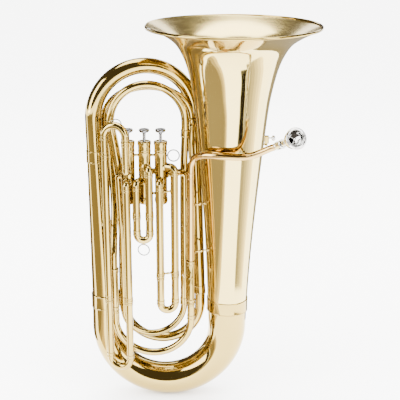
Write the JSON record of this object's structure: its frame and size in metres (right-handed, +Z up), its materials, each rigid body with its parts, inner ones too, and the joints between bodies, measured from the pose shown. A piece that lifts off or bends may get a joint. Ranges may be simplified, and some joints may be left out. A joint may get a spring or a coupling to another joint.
{
  "type": "tuba",
  "caption": "Upright brass tuba with top-action piston valves, front slides, curved leadpipe and removable mouthpiece.",
  "frame": {"origin": "centre of the bounding box in plan, at the lowest point of the bottom bow", "axes": "+Z up along the bell towards its mouth, +X towards the bell side, -Y towards the valves and slides"},
  "size_m": [0.5116, 0.4038, 0.8663],
  "materials": {
    "lacquer_brass": "clear lacquered yellow brass, mirror bright",
    "lacquer_bell": "clear lacquered yellow brass, mirror bright, spun",
    "silver": "bright silver plate",
    "piston_nickel": "lapped nickel plate",
    "spring_steel": "plain spring wire"
  },
  "bodies": {
    "horn": {"bell": "lacquer_bell", "bell_brace_lower": "lacquer_brass", "bell_brace_upper": "lacquer_brass", "bell_ferrule": "lacquer_brass", "bell_rim_wire": "lacquer_brass", "bottom_bow": "lacquer_brass", "bottom_cap_1": "lacquer_brass", "bottom_cap_2": "lacquer_brass", "bottom_cap_3": "lacquer_brass", "entry_branch": "lacquer_brass", "entry_return": "lacquer_brass", "first_branch": "lacquer_brass", "fourth_branch": "lacquer_brass", "leadpipe": "lacquer_brass", "leadpipe_brace": "lacquer_brass", "left_bow_ferrule": "lacquer_brass", "left_branch_brace": "lacquer_brass", "lyre_holder": "lacquer_brass", "mouthpiece_receiver": "silver", "piston_spring_1": "spring_steel", "piston_spring_2": "spring_steel", "piston_spring_3": "spring_steel", "second_branch": "lacquer_brass", "third_branch": "lacquer_brass", "thumb_ring": "silver", "top_bow": "lacquer_brass", "top_bow_ferrule": "lacquer_brass", "top_cap_1": "lacquer_brass", "top_cap_2": "lacquer_brass", "top_cap_3": "lacquer_brass", "tuning_sleeve_left": "lacquer_brass", "tuning_sleeve_right": "lacquer_brass", "valve1_brace_lower": "lacquer_brass", "valve1_sleeve_left": "lacquer_brass", "valve1_sleeve_right": "lacquer_brass", "valve2_sleeve_left": "lacquer_brass", "valve2_sleeve_right": "lacquer_brass", "valve3_long_leg": "lacquer_brass", "valve3_sleeve_lower": "lacquer_brass", "valve3_sleeve_upper": "lacquer_brass", "valve_casing_1": "lacquer_brass", "valve_casing_2": "lacquer_brass", "valve_casing_3": "lacquer_brass", "valve_exit_branch": "lacquer_brass"},
    "valve_1": {"piston_1": "piston_nickel", "finger_button_1": "silver"},
    "valve_2": {"piston_2": "piston_nickel", "finger_button_2": "silver"},
    "valve_3": {"piston_3": "piston_nickel", "finger_button_3": "silver"},
    "tuning_slide": {"tuning_slide": "lacquer_brass"},
    "valve1_slide": {"valve1_slide": "lacquer_brass"},
    "valve2_slide": {"valve2_slide": "lacquer_brass", "valve2_pull_ring": "silver"},
    "valve3_slide": {"valve3_slide": "lacquer_brass"},
    "valve3_top_slide": {"valve3_top_slide": "lacquer_brass", "valve3_pull_ring": "silver"},
    "mouthpiece": {"mouthpiece": "silver"},
    "water_key": {"water_key": "lacquer_brass"},
    "lyre_thumbscrew": {"lyre_thumbscrew": "lacquer_brass"}
  },
  "joints": [
    {"name": "valve_1_press", "type": "slide", "parent": "horn", "child": "valve_1", "axis": [0, 0, -1], "range_m": [0, 0.015], "stiffness_N_per_m": 150, "springref_m": -0.025, "deforming": ["piston_spring_1"]},
    {"name": "valve_2_press", "type": "slide", "parent": "horn", "child": "valve_2", "axis": [0, 0, -1], "range_m": [0, 0.015], "stiffness_N_per_m": 150, "springref_m": -0.025, "deforming": ["piston_spring_2"]},
    {"name": "valve_3_press", "type": "slide", "parent": "horn", "child": "valve_3", "axis": [0, 0, -1], "range_m": [0, 0.015], "stiffness_N_per_m": 150, "springref_m": -0.025, "deforming": ["piston_spring_3"]},
    {"name": "tuning_slide_pull", "type": "slide", "parent": "horn", "child": "tuning_slide", "axis": [0, 0, -1], "range_m": [0, 0.05]},
    {"name": "valve1_slide_pull", "type": "slide", "parent": "horn", "child": "valve1_slide", "axis": [0, 0, -1], "range_m": [0, 0.05]},
    {"name": "valve2_slide_pull", "type": "slide", "parent": "horn", "child": "valve2_slide", "axis": [0, 0, -1], "range_m": [0, 0.04]},
    {"name": "valve3_slide_pull", "type": "slide", "parent": "horn", "child": "valve3_slide", "axis": [0, 0, -1], "range_m": [0, 0.05]},
    {"name": "valve3_top_slide_pull", "type": "slide", "parent": "horn", "child": "valve3_top_slide", "axis": [0, 0, 1], "range_m": [0, 0.03]},
    {"name": "mouthpiece_pull", "type": "slide", "parent": "horn", "child": "mouthpiece", "axis": [0.3239, -0.8612, 0.3917], "range_m": [0, 0.026]},
    {"name": "water_key_open", "type": "hinge", "parent": "horn", "child": "water_key", "pos_m": [-0.02502, -0.04366, 0.31268], "axis": [-1, 0, 0], "range_deg": [0, 12], "stiffness_Nm_per_rad": 0.05, "springref_deg": -11.46},
    {"name": "lyre_thumbscrew_turn", "type": "hinge", "parent": "horn", "child": "lyre_thumbscrew", "pos_m": [0.13843, -0.09506, 0.64818], "axis": [1, 0, 0], "range_deg": [-180, 180]}
  ]
}
